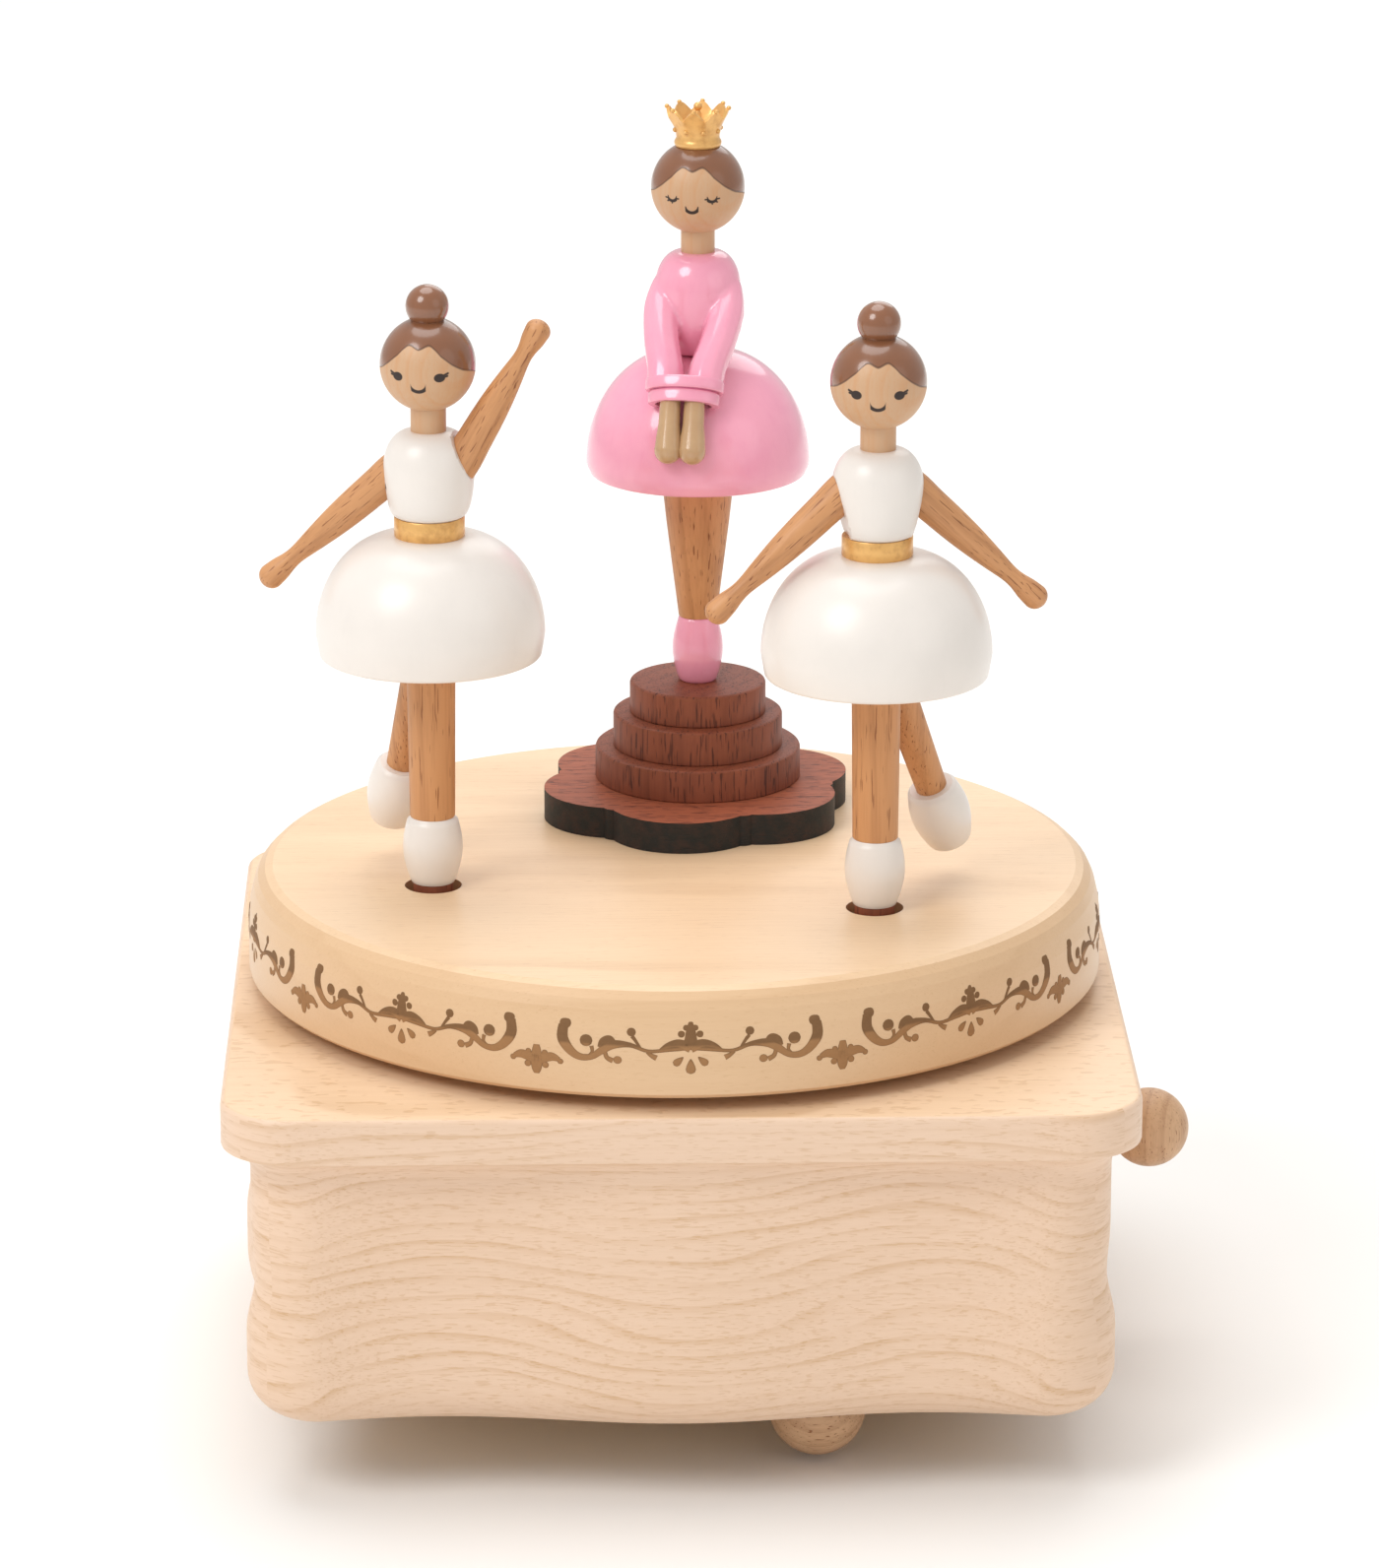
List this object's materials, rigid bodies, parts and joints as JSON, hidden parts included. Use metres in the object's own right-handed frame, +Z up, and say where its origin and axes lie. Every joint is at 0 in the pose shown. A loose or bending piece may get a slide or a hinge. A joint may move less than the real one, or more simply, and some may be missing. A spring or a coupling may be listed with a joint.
{
  "type": "ballerina jewellery box",
  "caption": "Wooden music box with a turning round stage, peg-mounted dancers, a crowned dancer on a stepped pedestal and a side drawer.",
  "frame": {"origin": "axis of the turntable, at the level the foot frame stands on", "axes": "+Z up along the turntable's axis, -Y towards the front, +X towards the drawer"},
  "size_m": [0.1363, 0.125, 0.1781],
  "materials": {
    "beech_case": "satin lacquered beech with fine flecks",
    "maple_disc": "satin lacquered pale wood with straight grain",
    "plywood": "plain birch plywood",
    "knob_wood": "oiled mid-brown wood",
    "felt": "matt felt lining",
    "steel": "ground steel",
    "brass": "satin brass",
    "aluminium": "satin",
    "dark_wood": "open-pored reddish brown wood, oiled",
    "pink_paint": "gloss pink lacquer on turned wood",
    "limb_wood": "oiled open-pored wood",
    "skin_paint": "satin tan lacquer",
    "face_wood": "satin wood with painted hair and face",
    "hair_paint": "gloss brown lacquer on turned wood",
    "gold_paint": "satin gold paint",
    "white_paint": "satin white lacquer on turned wood"
  },
  "bodies": {
    "case": {"case_top": "beech_case", "case_walls": "beech_case", "bottom_board": "plywood", "base_screws": "steel", "foot_frame": "knob_wood", "drawer_guide": "plywood", "sun_gear": "brass", "lid_bush": "brass", "bedplate": "brass", "movement_screws": "steel", "music_comb": "steel", "bearing_frame": "brass"},
    "drawer": {"drawer_box": "plywood", "drawer_front": "beech_case", "drawer_knob": "knob_wood", "drawer_lining": "felt"},
    "winder": {"winding_arbor": "steel", "winding_knob": "knob_wood"},
    "barrel": {"spring_barrel": "brass"},
    "cylinder": {"pin_cylinder": "brass"},
    "governor": {"governor": "aluminium"},
    "stage": {"turntable": "maple_disc", "spindle": "steel", "drive_gear": "brass", "peg_bushes": "brass", "pedestal_plaque": "dark_wood", "pedestal_tier_large": "dark_wood", "pedestal_tier_middle": "dark_wood", "pedestal_tier_small": "dark_wood", "queen_shoe": "pink_paint", "queen_leg": "limb_wood", "queen_skirt": "pink_paint", "queen_bodice": "pink_paint", "queen_hands": "skin_paint", "queen_head": "face_wood", "queen_crown": "gold_paint"},
    "left_dancer": {"left_pinion": "brass", "left_peg": "dark_wood", "left_shoes": "white_paint", "left_standing_leg": "limb_wood", "left_raised_leg": "limb_wood", "left_skirt": "white_paint", "left_belt": "gold_paint", "left_torso": "white_paint", "left_raised_arm": "limb_wood", "left_lowered_arm": "limb_wood", "left_head": "face_wood", "left_bun": "hair_paint"},
    "right_dancer": {"right_pinion": "brass", "right_peg": "dark_wood", "right_shoes": "white_paint", "right_standing_leg": "limb_wood", "right_raised_leg": "limb_wood", "right_skirt": "white_paint", "right_belt": "gold_paint", "right_torso": "white_paint", "right_left_arm": "limb_wood", "right_right_arm": "limb_wood", "right_head": "face_wood", "right_bun": "hair_paint"}
  },
  "joints": [
    {"name": "turntable_spin", "type": "hinge", "parent": "case", "child": "stage", "pos_m": [0, 0, 0.05], "axis": [0, 0, 1], "continuous": true},
    {"name": "left_dancer_spin", "type": "hinge", "parent": "stage", "child": "left_dancer", "pos_m": [-0.03396, -0.01196, 0.062], "axis": [0, 0, 1], "continuous": true},
    {"name": "right_dancer_spin", "type": "hinge", "parent": "stage", "child": "right_dancer", "pos_m": [0.02733, -0.02343, 0.062], "axis": [0, 0, 1], "continuous": true},
    {"name": "barrel_spin", "type": "hinge", "parent": "case", "child": "barrel", "pos_m": [0.019, -0.04189, 0.03], "axis": [0, 0, 1], "continuous": true},
    {"name": "cylinder_spin", "type": "hinge", "parent": "case", "child": "cylinder", "pos_m": [-0.012, -0.04189, 0.0316], "axis": [1, 0, 0], "continuous": true},
    {"name": "governor_spin", "type": "hinge", "parent": "case", "child": "governor", "pos_m": [-0.031, -0.02839, 0.0316], "axis": [1, 0, 0], "continuous": true},
    {"name": "winding_turn", "type": "hinge", "parent": "case", "child": "winder", "pos_m": [0.019, -0.04189, 0.01], "axis": [0, 0, 1], "continuous": true},
    {"name": "drawer_slide", "type": "slide", "parent": "case", "child": "drawer", "axis": [1, 0, 0], "range_m": [0, 0.03]}
  ],
  "couplings": [
    {"joint": "left_dancer_spin", "follows": "turntable_spin", "ratio": 2},
    {"joint": "right_dancer_spin", "follows": "turntable_spin", "ratio": 2},
    {"joint": "barrel_spin", "follows": "turntable_spin", "ratio": -3.381},
    {"joint": "cylinder_spin", "follows": "turntable_spin", "ratio": 1.5},
    {"joint": "governor_spin", "follows": "turntable_spin", "ratio": -5.25}
  ]
}
